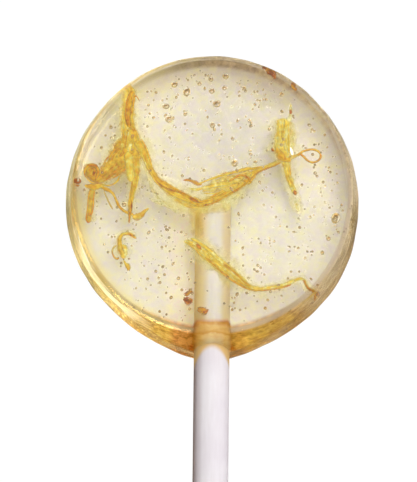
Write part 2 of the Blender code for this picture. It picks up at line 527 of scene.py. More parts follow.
STRIP = [
    (-15.4, 1.65, 5.1, 0.7), (-15.55, 0.75, 4.95, 0.8), (-15.7, -0.3, 4.8, 0.8), (-15.8, -1.3, 4.6, 0.8),
    (-15.85, -2.2, 4.45, 0.7), (-15.9, -2.85, 4.35, 0.75), (-15.95, -3.25, 4.3, 0.6),
]
STRIP_LEFT = [
    (-15.7, 1, 5.05, 0.2), (-16, -0.05, 4.9, 0.2), (-16.1, -1.2, 4.7, 0.2), (-16.2, -2.1, 4.55, 0.2),
    (-16.25, -2.8, 4.5, 0.25), (-16.05, -3.25, 4.45, 0.25), (-15.65, -3.15, 4.45, 0.2),
]
STRIP_RIGHT = [
    (-15.2, 0.85, 5.05, 0.15), (-15.35, -0.2, 4.9, 0.2), (-15.4, -1.2, 4.7, 0.25), (-15.55, -2.1, 4.55, 0.2),
    (-15.85, -2.5, 4.5, 0.2), (-16.15, -2.7, 4.5, 0.15),
]
THREAD = [
    (-14.6, 1.5, 5.1, 0.6), (-13.9, 1.1, 5, 0.5), (-13.15, 0.7, 5, 0.4), (-12.65, 0.1, 4.95, 0.35),
    (-12.3, -0.7, 4.9, 0.35), (-11.95, -1.35, 4.85, 0.35), (-11.4, -1.8, 4.8, 0.4),
    (-10.75, -2.15, 4.8, 0.45), (-10.1, -2.4, 4.8, 0.5),
]
TAG = [
    (-10.35, -2.55, 4.75, 0.5), (-9.85, -2.6, 4.75, 0.95), (-9.25, -2.4, 4.8, 0.85),
    (-8.75, -1.95, 4.85, 0.45), (-8.15, -1.5, 4.9, 0.25),
]
FAINT = [(-14.05, 1, 5, 0.15), (-13.75, 0.1, 4.9, 0.2), (-13.25, -0.95, 4.8, 0.25), (-12.8, -1.7, 4.7, 0.15)]
finish_petal(
    "floret_curl",
    halo(CURL, 305, 1.5),
    halo(STRIP, 306, 1.8),
    strip(CURL, 0.44, clear=0.2, crinkle=0.25, across=10, seed=15),
    *fibres(CURL, 4, 0.4, seed=170, width=0.2),
    strip(CURL_RIM, 0.55, clear=0.1, across=4, seed=16),
    strip(CURL_VEIN, 0.7, across=4, seed=17),
    strip(KNOT, 0.38, clear=0.1, crinkle=0.3, seed=18),
    strip(STRIP, 0.34, clear=0.4, seed=19),
    strip(STRIP_LEFT, 0.62, clear=0.1, across=4, seed=20),
    strip(STRIP_RIGHT, 0.6, clear=0.1, across=4, seed=21),
    strip(THREAD, 0.45, clear=0.1, across=5, seed=22),
    strip(TAG, 0.25, clear=0.25, seed=23),
    *fibres(TAG, 3, 0.35, seed=180, width=0.14),
    strip(FAINT, 0.3, clear=0.5, across=3, seed=24),
)

SMUDGE = [
    (-17.15, 2.4, 5.2, 0.3), (-17.05, 1.95, 5.2, 0.3), (-17.4, 1.75, 5.2, 0.35), (-17.8, 1.95, 5.2, 0.35),
    (-17.8, 2.35, 5.2, 0.3), (-17.45, 2.6, 5.2, 0.3), (-17.15, 2.4, 5.2, 0.25),
]
SMUDGE_LOW = [(-17.05, 1.55, 5.1, 0.2), (-17.5, 1.35, 5.1, 0.45), (-17.9, 1.25, 5.1, 0.35)]
SMUDGE_TAIL = [(-17.45, 1.2, 4.9, 0.4), (-17.5, 0.5, 4.8, 0.4), (-17.6, -0.3, 4.7, 0.25)]
finish_petal(
    "red_scrap",
    strip(SMUDGE, 0.9, clear=0.15, across=4, seed=25),
    strip(SMUDGE_LOW, 0.85, clear=0.2, across=5, seed=26),
    strip(SMUDGE_TAIL, 0.55, clear=0.65, across=4, seed=27),
)

ARM = [
    (-1.55, -1.05, 6.8, 0.9), (-0.55, -0.85, 6.6, 1.05), (0.5, -0.35, 6.4, 1.1), (1.65, 0.3, 6, 1.1),
    (2.7, 0.95, 5.6, 1.1), (3.75, 1.65, 5.1, 1.1), (4.65, 2.4, 4.7, 1.15), (5.55, 3.2, 4.5, 0.9),
    (6.45, 3.7, 4.3, 0.65), (7.5, 4.15, 4.2, 0.6), (8.65, 4.7, 4.1, 0.55), (9.8, 5.1, 4, 0.55),
    (10.85, 5.45, 4, 0.5), (11.75, 5.85, 4, 0.4),
]
ARM_VEIN = [
    (-1.2, -1.35, 6.9, 0.2), (0, -1.05, 6.7, 0.25), (1.15, -0.4, 6.4, 0.25), (2.2, 0.2, 6, 0.3),
    (3.2, 0.85, 5.6, 0.25), (4.25, 1.65, 5.1, 0.3), (5.15, 2.5, 4.8, 0.25), (6.2, 3.35, 4.5, 0.2),
    (7.5, 3.9, 4.35, 0.2), (9.05, 4.55, 4.25, 0.15),
]
ARM_TOP = [
    (-1.95, 1.4, 7, 0.2), (-0.65, 1.95, 6.8, 0.25), (0.5, 2.4, 6.6, 0.3), (1.8, 2.8, 6.3, 0.3),
    (3.1, 3.2, 5.9, 0.4), (4.4, 3.6, 5.4, 0.45), (5.55, 3.7, 5, 0.4), (6.6, 4, 4.6, 0.25),
]
ARM_RED = [
    (-3.8, 1.95, 7, 0.25), (-3.2, 2, 7, 0.35), (-2.55, 1.85, 7, 0.45), (-1.9, 1.5, 6.95, 0.55),
    (-1.25, 1.45, 6.9, 0.4),
]
ARM_PALE = [
    (-3.1, 1, 6.8, 0.25), (-2.2, 0.75, 6.8, 0.4), (-1.2, 0.95, 6.7, 0.45), (0, 1.25, 6.5, 0.5),
    (1.3, 1.55, 6.2, 0.6), (2.55, 1.8, 5.9, 0.65), (3.75, 2.25, 5.4, 0.65),
]
ARM_WEB = [
    (-1.4, 0.75, 6.5, 1.1), (0.1, 1.25, 6.3, 2.1), (1.4, 1.75, 6, 2.5), (2.7, 2.25, 5.6, 2.2),
    (4, 2.65, 5.2, 1.55), (5.15, 3.3, 4.8, 1.05),
]
ARM_HAZE = [
    (-1.6, -1.9, 6.6, 1.0), (0, -1.5, 6.5, 1.6), (1.4, -1.0, 6.2, 1.8), (2.8, -0.3, 5.8, 1.6),
    (4.2, 0.6, 5.3, 1.0),
]
# A golden-brown veil over the buried stick's left flank near its inner end: painted shade
STICK_SHADE_VEIL = [
    (-2.9, -1.3, 6.9, 0.9), (-2.3, -2.1, 6.95, 1.5), (-2.0, -3.3, 7, 1.7), (-1.9, -4.6, 7, 1.5),
    (-1.9, -5.6, 7, 1.2),
]
STICK_VEIL = [(-2.2, -1.6, 6.85, 0.8), (-0.8, -1.75, 6.9, 1.3), (0.8, -1.6, 6.9, 1.4), (2.4, -1.2, 6.6, 1.0)]
NODE = [(3.75, 2.4, 5.15, 0.5), (4.25, 2.35, 5.1, 1.05), (4.75, 2.05, 5, 0.9), (5.15, 1.85, 4.95, 0.3)]
NODE_VEIN = [
    (2.05, 1.8, 6.1, 0.2), (2.7, 2.25, 5.9, 0.25), (3.5, 2.75, 5.6, 0.25), (4.2, 2.7, 5.4, 0.3),
    (4.75, 2.35, 5.2, 0.3), (4.95, 1.9, 5.1, 0.25),
]
LOOP = [
    (10.95, 5.45, 4.1, 0.28), (11.8, 6, 4.1, 0.28), (12.6, 6.25, 4.1, 0.28), (13.35, 6.25, 4.1, 0.28),
    (13.95, 5.9, 4.1, 0.28), (14.1, 5.35, 4.1, 0.28), (13.75, 4.8, 4.1, 0.28), (13.05, 4.6, 4.1, 0.28),
    (12.35, 4.85, 4.2, 0.28), (11.85, 5.35, 4.3, 0.28), (11.4, 5.75, 4.35, 0.25),
]
finish_petal(
    "floret_middle",
    halo(ARM[:9], 307),
    strip(ARM_HAZE, -0.1, clear=0.72, edge=0.0, fade=1.2, seed=39),
    strip(STICK_SHADE_VEIL, 0.3, clear=0.75, edge=0.0, fade=1.8, seed=28),
    strip(STICK_VEIL, 0.05, clear=0.72, edge=0.0, fade=1.4, seed=49),
    strip(ARM_WEB, 0.1, clear=0.58, crinkle=0.2, across=12, seed=30),
    *fibres(ARM_WEB, 8, 0.22, seed=200, width=0.16, clear=0.3),
    strip(ARM, 0.2, clear=0.3, across=10, seed=31),
    *fibres(ARM[:9], 6, 0.3, seed=210, width=0.18),
    strip(ARM_VEIN, 0.6, clear=0.4, across=4, seed=32),
    strip(ARM_TOP, 0.28, clear=0.3, across=4, seed=33),
    strip(ARM_RED, 0.62, clear=0.3, across=5, seed=34),
    strip(ARM_PALE, 0.1, clear=0.4, across=6, seed=35),
    strip(NODE, 0.5, clear=0.1, crinkle=0.3, seed=36),
    strip(NODE_VEIN, 0.66, clear=0.3, across=4, seed=37),
    strip(LOOP, 0.5, clear=0.2, across=5, curl=0.5, seed=38),
)

STALK = [
    (10.2, 12.3, 5.2, 0.25), (10.2, 11.65, 5.15, 0.45), (10.2, 11, 5.1, 0.5), (10.1, 10.35, 5.1, 0.65),
    (9.85, 9.85, 5.1, 1.05),
]
STALK_DOT = [(10.2, 11.45, 5.35, 0.2), (10.2, 11.05, 5.35, 0.45), (10.2, 10.75, 5.3, 0.25)]
UPRIGHT = [
    (9.35, 10.3, 5.1, 1.7), (9.3, 9.45, 5.1, 2.1), (9.25, 8.4, 5, 2), (9.2, 7.4, 4.9, 2.1),
    (9.15, 6.45, 4.8, 2.2), (9.25, 5.55, 4.7, 1.95), (9.5, 4.8, 4.65, 1.45),
]
UPRIGHT_PALE = [
    (10.25, 9.85, 4.9, 0.8), (10.4, 8.8, 4.85, 0.9), (10.45, 7.8, 4.8, 0.95), (10.45, 6.85, 4.75, 0.8),
    (10.2, 6.1, 4.7, 0.5),
]
UPRIGHT_LOW = [
    (9.4, 5.3, 4.7, 1.3), (9.6, 4.4, 4.6, 1.1), (9.75, 3.5, 4.5, 0.95), (9.95, 2.6, 4.4, 0.9),
    (10.25, 1.7, 4.3, 0.8), (10.6, 0.95, 4.2, 0.7), (10.8, 0.3, 4.1, 0.45),
]
UPRIGHT_KNOT = [
    (8.25, 6.45, 5, 0.4), (8.65, 5.8, 5, 0.9), (9.15, 5.15, 4.95, 1.3), (9.8, 4.9, 4.9, 1.05),
    (10.2, 4.7, 4.8, 0.4),
]
UPRIGHT_TIP = [(10.6, 0.95, 4.35, 0.3), (10.75, 0.55, 4.3, 0.6), (10.85, 0.2, 4.3, 0.3)]
UPRIGHT_HAZE = [
    (10.6, 0.9, 4.1, 1.0), (10.75, 0, 4.1, 1.5), (10.9, -0.8, 4.1, 1.7), (11.2, -1.6, 4, 1.3),
    (11.5, -2.2, 4, 0.6),
]
DARK_BIT = [(7.75, 6.4, 4.9, 0.2), (7.85, 6.1, 4.9, 0.45), (8.2, 6.05, 4.9, 0.25)]
finish_petal(
    "floret_right",
    halo(UPRIGHT, 308, 1.6),
    halo(UPRIGHT_LOW, 309, 2.0),
    strip(STALK, -0.1, clear=0.55, seed=40),
    strip(STALK_DOT, 1.1, across=5, seed=41),
    strip(UPRIGHT, 0.06, clear=0.25, curl=0.05, ragged=0.08, edge=0.1, across=14, seed=42),
    *fibres(UPRIGHT, 8, 0.06, seed=220, width=0.26, clear=0.45),
    strip(UPRIGHT_PALE, 0.02, clear=0.66, curl=0.05, ragged=0.1, edge=0.0, seed=43),
    strip(UPRIGHT_LOW, 0.0, clear=0.3, seed=44),
    *fibres(UPRIGHT_LOW, 4, 0.08, seed=230, width=0.22, clear=0.4),
    strip(UPRIGHT_KNOT, 0.48, clear=0.25, crinkle=0.3, seed=45),
    strip(UPRIGHT_TIP, 0.8, clear=0.3, across=5, seed=46),
    strip(UPRIGHT_HAZE, -0.05, clear=0.7, edge=0.0, fade=1.2, seed=47),
    strip(DARK_BIT, 0.8, clear=0.2, across=4, seed=48),
)

HOOK = [
    (-9.75, -5.45, 5, 0.2), (-10.15, -5.15, 5, 0.3), (-10.6, -4.85, 5, 0.35), (-11.1, -4.8, 5, 0.35),
    (-11.65, -4.95, 5, 0.4), (-11.95, -5.5, 5, 0.55), (-11.95, -6.3, 5, 0.65), (-11.75, -7.1, 5, 0.8),
    (-11.5, -7.65, 4.9, 0.8), (-11.4, -8.1, 4.9, 0.5),
]
HOOK_VEIN = [
    (-9.75, -5.55, 5.1, 0.15), (-10.3, -5.15, 5.1, 0.25), (-10.8, -4.9, 5.1, 0.2), (-11.5, -5.1, 5.1, 0.15),
]
HOOK_SIDE = [
    (-11.65, -6.15, 4.9, 0.4), (-11.25, -6.8, 4.9, 0.7), (-11.2, -7.35, 4.9, 0.65), (-11.45, -7.9, 4.9, 0.4),
]
HOOK_LOOP = [
    (-12.3, -6.3, 4.9, 0.15), (-12.7, -6.6, 4.9, 0.25), (-12.9, -7.2, 4.9, 0.25), (-12.65, -7.85, 4.8, 0.25),
    (-12.2, -8.1, 4.8, 0.35), (-12.05, -7.8, 4.8, 0.25),
]
HOOK_TIP = [
    (-11.45, -8.1, 4.8, 0.2), (-11.2, -8.65, 4.75, 0.3), (-10.95, -9, 4.7, 0.65), (-10.8, -9.35, 4.7, 0.6),
    (-10.95, -9.65, 4.7, 0.25),
]
finish_petal(
    "floret_small",
    halo(HOOK, 310, 2.2),
    strip(HOOK, 0.25, clear=0.25, seed=50),
    strip(HOOK_VEIN, 0.65, clear=0.1, across=4, seed=51),
    strip(HOOK_SIDE, 0.1, clear=0.25, seed=52),
    *fibres(HOOK[4:], 3, 0.35, seed=240, width=0.14),
    strip(HOOK_LOOP, 0.5, clear=0.4, across=4, seed=53),
    strip(HOOK_TIP, 0.3, clear=0.25, across=5, seed=54),
)

LOW = [
    (-3.65, -6, 6.95, 0.4), (-2.85, -6.2, 7, 0.8), (-2, -6.6, 7.05, 1.15), (-1.2, -7.2, 7.1, 1.5),
    (-0.15, -8.05, 7.2, 1.6), (0.9, -8.95, 7.15, 1.7), (1.95, -9.8, 6.9, 1.6), (2.9, -10.5, 6.3, 1.45),
    (3.85, -11.15, 5.5, 1.1), (4.9, -11.8, 4.8, 0.7), (6.2, -12, 4.4, 0.6), (7.6, -11.8, 4.1, 0.6),
    (9.05, -11.5, 4, 0.6), (10.2, -11.05, 4, 0.55), (11.2, -10.65, 4, 0.45), (11.85, -10.75, 4, 0.4),
    (12.2, -11.5, 4, 0.45), (12.55, -12.2, 4, 0.45), (12.85, -12.9, 4, 0.35),
]
LOW_TIP = [
    (-2.85, -5.6, 7.15, 0.25), (-2.1, -5.9, 7.2, 0.45), (-1.3, -6.45, 7.25, 0.5), (-0.4, -7.15, 7.3, 0.5),
    (0.65, -8, 7.3, 0.45),
]
LOW_SPOT = [(-2.1, -6.3, 7.35, 0.2), (-1.7, -6.7, 7.35, 0.5), (-1.35, -7.1, 7.35, 0.25)]
LOW_VEIN = [
    (-0.9, -8, 7.3, 0.15), (0.1, -8.9, 7.35, 0.25), (1.15, -9.9, 7.2, 0.25), (2.2, -10.75, 6.8, 0.25),
    (3.2, -11.4, 6.1, 0.25), (4.4, -11.95, 5.3, 0.25), (5.8, -12.2, 4.7, 0.2), (7.5, -12.05, 4.4, 0.2),
    (9.15, -11.75, 4.3, 0.25), (10.3, -11.35, 4.3, 0.25),
]
LOW_VEIN_TOP = [
    (1.3, -8.8, 7.35, 0.2), (2.3, -9.55, 7.1, 0.25), (3.15, -10.2, 6.6, 0.25), (4, -11, 5.8, 0.25),
    (4.9, -11.65, 5.1, 0.2),
]
LOW_END = [
    (11.75, -10.7, 4.3, 0.2), (12.2, -11.5, 4.3, 0.3), (12.55, -12.3, 4.3, 0.3), (12.85, -12.95, 4.3, 0.3),
]
finish_petal(
    "floret_low",
    halo(LOW, 311, 1.9),
    strip(LOW, 0.06, clear=0.34, across=10, seed=60),
    *fibres(LOW[:11], 7, 0.16, seed=250, width=0.2, clear=0.35),
    strip(LOW_TIP, 0.16, clear=0.35, seed=61),
    strip(LOW_SPOT, 0.75, clear=0.15, across=5, seed=62),
    strip(LOW_VEIN, 0.55, clear=0.35, across=4, seed=63),
    strip(LOW_VEIN_TOP, 0.5, clear=0.35, across=4, seed=64),
    strip(LOW_END, 0.65, clear=0.1, across=4, seed=65),
)

SCRAPS = [
    [(-3.75, -13.3, 4.7, 0.25), (-3.35, -13.55, 4.7, 0.8), (-2.85, -13.55, 4.7, 0.8),
     (-2.5, -13.3, 4.7, 0.2)],
    [(-3.65, -12.85, 4.6, 0.25), (-3.1, -12.6, 4.6, 0.4), (-2.75, -12.3, 4.6, 0.25)],
    [(-1.9, -14.6, 6.9, 0.4), (-1.35, -14.7, 6.95, 0.85), (-0.9, -15, 6.95, 0.65),
     (-0.4, -14.85, 6.9, 0.25)],
    [(-3, -12.4, 5, 0.2), (-2.75, -12.35, 5, 0.35), (-2.55, -12.25, 5, 0.2)],
    [(6.4, 16.5, 7.4, 0.25), (7.1, 16.3, 7.4, 0.45), (7.8, 15.8, 7.4, 0.4), (8.2, 15.2, 7.4, 0.2)],
    [(10.1, 14.5, 7.2, 0.25), (10.6, 14.0, 7.2, 0.5), (10.9, 13.6, 7.2, 0.2)],
]
SCRAP_COLOURS = (0.66, 0.56, 0.72, 0.6, 0.64, 0.75)
finish_petal(
    "scraps",
    *(
        part
        for number, (scrap, colour) in enumerate(zip(SCRAPS, SCRAP_COLOURS))
        for part in (
            strip(scrap, colour, clear=0.3, crinkle=0.2, ragged=1.2, edge=-0.15, seed=70 + number),
            *fibres(scrap, 4, colour + 0.1, 260 + 10 * number, width=0.3, clear=0.2, reach=1.3),
        )
    ),
)


# ---------------------------------------------------------------------------------------------
# The candy: one disc of clear boiled sugar, poured into a drafted mould over the stick and the
# petals. Its moulded face is up, its wider poured face lies on the table, and it runs out a
# little way along the stick. Air bubbles are frozen in it.
candy_low, candy_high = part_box("candy")
THICKNESS = candy_high.z - candy_low.z
BACK_RADIUS = candy_high.y
BACK_ROUND = 0.4 * MM
FACE_RADIUS = 17.3 * MM
FACE_ROUND = 0.9 * MM
NECK_REACH = 1.95 * MM
NECK_SPREAD = math.radians(50)
NECK_SOFTNESS = math.radians(3)
NECK_POWER = 2.1
BULGE_REACH = 0.36 * MM
BULGE_MIDDLE = math.radians(48)
BULGE_SPREAD = math.radians(44)
CANDY_SIDES = 240
FACE_RINGS = 36
WALL_RINGS = 12
EDGE_STEPS = 8
WOBBLE = 0.09 * MM             # the mould's wall is a little uneven
WOBBLE_SCALE = 380


def smooth_step(value):
    value = min(max(value, 0.0), 1.0)
    return value * value * (3 - 2 * value)


def side_reach(angle, height):
    """How far the neck and the fuller right side stand out from the round outline."""
    from_stick = math.hypot(angle, NECK_SOFTNESS) / NECK_SPREAD
    neck = NECK_REACH * max(1 - from_stick, 0.0) ** NECK_POWER
    from_bulge = min(abs(angle - BULGE_MIDDLE) / BULGE_SPREAD, 1.0)
    bulge = BULGE_REACH * (1 + math.cos(math.pi * from_bulge)) / 2
    return (neck + bulge) * smooth_step((THICKNESS - height) / (THICKNESS - STICK_HEIGHT))


def half_section():
    """The disc's half section from the middle of the poured face to the middle of the moulded one."""
    flat = BACK_RADIUS - BACK_ROUND
    points = [(flat * step / FACE_RINGS, 0.0) for step in range(FACE_RINGS)]
    for step in range(EDGE_STEPS + 1):
        turn = math.radians(90) * step / EDGE_STEPS
        points.append((flat + BACK_ROUND * math.sin(turn), BACK_ROUND * (1 - math.cos(turn))))
    wall_top = FACE_RADIUS + FACE_ROUND
    for step in range(1, WALL_RINGS):
        share = step / WALL_RINGS
        height = BACK_ROUND + (THICKNESS - FACE_ROUND - BACK_ROUND) * share
        points.append((BACK_RADIUS + (wall_top - BACK_RADIUS) * share, height))
    for step in range(EDGE_STEPS + 1):
        turn = math.radians(90) * step / EDGE_STEPS
        height = THICKNESS - FACE_ROUND * (1 - math.sin(turn))
        points.append((FACE_RADIUS + FACE_ROUND * math.cos(turn), height))
    points += [(FACE_RADIUS * (1 - step / FACE_RINGS), THICKNESS) for step in range(1, FACE_RINGS + 1)]
    return points


outline = bpy.data.meshes.new("clear_candy")
section = [(radius, 0.0, height) for radius, height in half_section()]
outline.from_pydata(section, [(i, i + 1) for i in range(len(section) - 1)], [])
candy = bpy.data.objects.new("clear_candy", outline)
bpy.context.scene.collection.objects.link(candy)
select_only(candy)
bpy.ops.object.mode_set(mode="EDIT")
bpy.ops.mesh.select_all(action="SELECT")
bpy.ops.mesh.spin(steps=CANDY_SIDES, angle=math.radians(360), center=(0, 0, 0), axis=(0, 0, 1))
bpy.ops.mesh.select_all(action="SELECT")
bpy.ops.mesh.remove_doubles(threshold=0.005 * MM)
bpy.ops.mesh.dissolve_degenerate(threshold=0.001 * MM)
bpy.ops.mesh.normals_make_consistent(inside=False)
bpy.ops.object.mode_set(mode="OBJECT")

for vertex in candy.data.vertices:
    radius = vertex.co.xy.length
    if radius > FACE_RADIUS / 2:
        angle = math.atan2(vertex.co.x, -vertex.co.y)
        fade = smooth_step((radius / FACE_RADIUS - 0.5) * 2)
        uneven = WOBBLE * noise.noise(vertex.co * WOBBLE_SCALE)
        stretch = 1 + (side_reach(angle, vertex.co.z) + uneven) * fade / radius
        vertex.co.x *= stretch
        vertex.co.y *= stretch

# Bubbles as x, y, depth under the moulded face and radius, in mm
BUBBLES = [
    (-4.9, 14.55, 1.9, 0.44), (-3.3, 13.55, 1.5, 0.5), (-1.65, 14.7, 2.3, 0.3), (-0.15, 15.2, 1.6, 0.34),
    (1.75, 15.55, 1.4, 0.4), (-0.05, 13.75, 2.3, 0.4), (1.6, 14.3, 3.8, 0.32), (0.6, 12.2, 3.4, 0.5),
    (-6, 11.85, 3.3, 0.38), (-5.6, 10, 1.8, 0.5), (-3.5, 10.75, 2.7, 0.3), (4.35, 13.75, 2.4, 0.2),
    (3.55, 13.05, 1.9, 0.18), (5.45, 13.6, 1.5, 0.12), (5.9, 12.5, 2.1, 0.16), (0.05, 9.4, 3.8, 0.38),
    (4.85, 10.15, 5.1, 0.24), (4.95, 6.15, 5, 0.22), (5, 5.7, 5, 0.22), (2.65, 7.45, 2, 0.24),
    (-3.25, 8.65, 2.5, 0.16), (2.9, 4.35, 3, 0.5), (-13.15, 9.25, 4.7, 0.24), (9.05, 13.45, 3.6, 0.3),
    (12.65, 9.6, 5.4, 0.22), (12.95, 8.55, 1.4, 0.22), (7.85, 6.25, 4, 0.24), (15.95, -2.85, 3.1, 0.58),
    (16.75, -1.1, 3.5, 0.18), (16.85, -2, 1.9, 0.16), (15, -5.55, 2.5, 0.3), (16.25, -4.8, 1.4, 0.18),
    (7.85, 0.75, 5.7, 0.2), (6.7, -0.9, 5.3, 0.18), (8.25, -2.65, 3.7, 0.16), (12.65, -2.75, 2.5, 0.2),
    (13.3, -1.15, 5.5, 0.18), (14.6, -0.65, 3.9, 0.12), (15.25, -1.25, 5.4, 0.16), (11.2, -2.7, 5.2, 0.14),
    (7.4, -5.4, 3.5, 0.12), (7.45, -5.75, 3.1, 0.14), (7.45, -6.05, 4, 0.14), (5.9, -9, 3.2, 0.2),
    (6.25, -9.4, 1.8, 0.18), (-4.35, -10.7, 2.5, 0.24), (-6, -3.8, 5.1, 0.2), (-3.9, -12.3, 1.2, 0.2),
    (-11.4, -1.0, 3.5, 0.34), (13.3, 2.85, 1.2, 0.24), (13.6, 2.75, 4.1, 0.18), (14.2, -7.4, 2.4, 0.24),
    (-9.05, 1.25, 3.7, 0.18), (-1.05, 3.45, 3.4, 0.24), (2.3, -14.4, 2.7, 0.16), (2.95, -14.35, 6, 0.14),
    (3.6, -14.85, 2, 0.16), (4.3, -14.55, 3.1, 0.14), (13.6, -12.7, 1.8, 0.32), (12.5, -13.15, 4.2, 0.24),
    (4.55, 4.25, 2.4, 0.16),
]
BUBBLE_DETAIL = 3
GLINT = (10.3, 5.85, 3.0, 0.14)         # a drawn-out gap beside the upright petal, with a painted glint that glows white
GLINT_STRETCH = 4.2
GLINT_TURN = math.radians(105)
SPECKS = 680
SPECK_SIDES = 8
SPECK_RADIUS = 0.065                    # the smallest one, in mm
SPECK_SPREAD = 0.16                     # what the largest ones have more, in mm
SPECK_REACH = 16.8 * MM                 # the part of the disc that specks lie in
SPECK_HEIGHTS = (0.8, 7.6)              # in mm
STICK_CLEARANCE = 0.3 * MM              # specks keep this far from the stick's side
STICK_TOP_CLEAR = 0.6 * MM              # and may lie anywhere above this y, past its inner end
BUBBLE_SHADE, SPECK_SHADE, GLINT_SHADE = 0.6, 0.8, -1.9


def bubble_at(model, where, size, stretch, turn, shade=BUBBLE_SHADE):
    """A copy of the model bubble, as a hollow: its faces point inwards, out of the candy.

    Its upper left side gets a painted brown shade and its lower right side stays lighter. Shade darkens it as
    a whole; far below zero it glows white instead, as a painted glint.
    """
    bubble = bpy.data.objects.new("bubble", model.data.copy())
    painted_shade_and_glint = bubble.data.attributes.new("painted_shade_and_glint", "FLOAT", "POINT")
    for vertex in bubble.data.vertices:
        painted_shade_and_glint.data[vertex.index].value = shade - 0.45 * vertex.co.x + 0.8 * vertex.co.y
    bpy.context.scene.collection.objects.link(bubble)
    spin = Matrix.Rotation(turn, 4, "Z")
    squash = spin @ Matrix.Diagonal((size * stretch, size, size, 1.0)) @ spin.inverted()
    bubble.data.transform(Matrix.Translation(where) @ squash)
    bubble.data.flip_normals()
    return bubble


bpy.ops.mesh.primitive_ico_sphere_add(subdivisions=BUBBLE_DETAIL, radius=1.0)
round_bubble = bpy.context.object
bpy.ops.mesh.primitive_uv_sphere_add(segments=SPECK_SIDES, ring_count=6, radius=1.0)
tiny_bubble = bpy.context.object
chance = random.Random(11)
hollows = []
for x, y, deep, size in BUBBLES:
    where = Vector((x, y, THICKNESS / MM - deep)) * MM
    stretch = 1 + 0.25 * chance.random() ** 3
    hollows.append(bubble_at(round_bubble, where, size * MM, stretch, chance.uniform(0, 3.14)))
while len(hollows) < len(BUBBLES) + SPECKS:
    out = SPECK_REACH * math.sqrt(chance.random())
    around = chance.uniform(0, 2 * math.pi)
    height = chance.uniform(*SPECK_HEIGHTS) * MM
    where = Vector((out * math.sin(around), out * math.cos(around), height))
    size = (SPECK_RADIUS + SPECK_SPREAD * chance.random() ** 2.4) * MM
    if noise.noise(where * 240) < chance.uniform(-0.5, 0.3):
        continue
    beside_stick = abs(where.x) > STICK_RADIUS + STICK_CLEARANCE or where.y > STICK_TOP_CLEAR
    if beside_stick or where.z > STICK_HEIGHT + STICK_RADIUS + STICK_CLEARANCE:
        stretch = 1 + 0.6 * chance.random() ** 3
        hollows.append(bubble_at(tiny_bubble, where, size, stretch, chance.uniform(0, 3.14), SPECK_SHADE))
x, y, deep, size = GLINT
where = Vector((x, y, THICKNESS / MM - deep)) * MM
hollows.append(bubble_at(round_bubble, where, size * MM, GLINT_STRETCH, GLINT_TURN, GLINT_SHADE))
for model in (round_bubble, tiny_bubble):
    bpy.data.objects.remove(model, do_unlink=True)
bpy.ops.object.select_all(action="DESELECT")
for hollow in hollows:
    hollow.select_set(True)
candy.select_set(True)
bpy.context.view_layer.objects.active = candy
bpy.ops.object.join()
candy.data.shade_smooth()


RED_PATCH = -3.7 * MM                   # the wall's painted red patch lies this far to the side of the stick
SHADED_MIDDLE = (3.0 * MM, 7.0 * MM, THICKNESS / 2)
EDGE_LINE = 17.74 * MM                  # radius of the painted dark line where the face turns down
SUNNY_SIDE = (-0.743, -0.669)           # the way from the middle to the wall's painted bright streak
SUNNY_LEVEL = 0.63                      # and its level on the wall
BLACK = (0.0, 0.0, 0.0)


def apart(value, middle):
    """How far a value is from a middle one."""
    return math_node("ABSOLUTE", math_node("SUBTRACT", value, middle))


def distance_from(vector, point):
    """How far a vector is from a point."""
    node = nodes.new("ShaderNodeVectorMath")
    node.operation = "DISTANCE"
    links.new(vector, node.inputs[0])
    node.inputs[1].default_value = point
    return node.outputs["Value"]


glass, nodes, links, shader = new_material("boiled_sugar")
place, along_x, along_y, along_z = object_position()
squared = times(along_x, along_x)
reach = math_node("SQRT", times_plus(along_y, along_y, squared))
to_right = math_node("DIVIDE", along_x, reach)
to_top = math_node("DIVIDE", along_y, reach)
low_side = span(along_y, -13 * MM, -16 * MM)
left_side = span(along_x, 2 * MM, -8 * MM)
over_stick = span(math_node("ABSOLUTE", along_x), 2.6 * MM, 1.9 * MM)
early = times(times_plus(over_stick, 0.9 * MM, 0.45 * MM), low_side)
wall = span(math_node("ADD", reach, early), FACE_RADIUS, FACE_RADIUS + 0.7 * MM)

# Streaks run round the wall, with a finer grain between them
wall_place = nodes.new("ShaderNodeCombineXYZ")
links.new(times(along_x, 0.25), wall_place.inputs["X"])
links.new(times(along_y, 0.25), wall_place.inputs["Y"])
links.new(times_plus(reach, -1.5, along_z), wall_place.inputs["Z"])
streaks = noise_value(wall_place.outputs["Vector"], 700, detail=5, roughness=0.65)
ripple = noise_value(wall_place.outputs["Vector"], 650, detail=4, roughness=0.6)
grain = noise_value(place, 1150, detail=4, roughness=0.6)
grainy = times(math_node("ADD", streaks, grain), 0.5)

# Its height in wavy layers, from about 0 at the table to 0.85 at the moulded face
level = times_plus(times_plus(streaks, 6.0 * MM, along_z), 0.1 / MM, -0.3)

# The upper wall, in painted light and reflection: golden in layers on the left, khaki on the right
golden = colour_ramp(
    level,
    (0.06, 0.20, 0.16, 0.045), (0.12, 0.30, 0.28, 0.13), (0.18, 0.40, 0.385, 0.21),
    (0.26, 0.37, 0.34, 0.15), (0.32, 0.42, 0.32, 0.05), (0.42, 0.78, 0.69, 0.26), (0.5, 1.0, 0.97, 0.86),
    (0.74, 1.0, 1.0, 0.94), (0.8, 0.70, 0.50, 0.11), (0.86, 0.58, 0.37, 0.05),
)
khaki = colour_ramp(grainy, (0.41, 0.30, 0.20, 0.11), (0.5, 0.54, 0.40, 0.24), (0.58, 0.78, 0.64, 0.42))
khaki = tinted(khaki, (0.86, 0.75, 0.58), span(along_y, -6 * MM, -12 * MM))
wall_painted_light = mix_colours(left_side, khaki, golden)
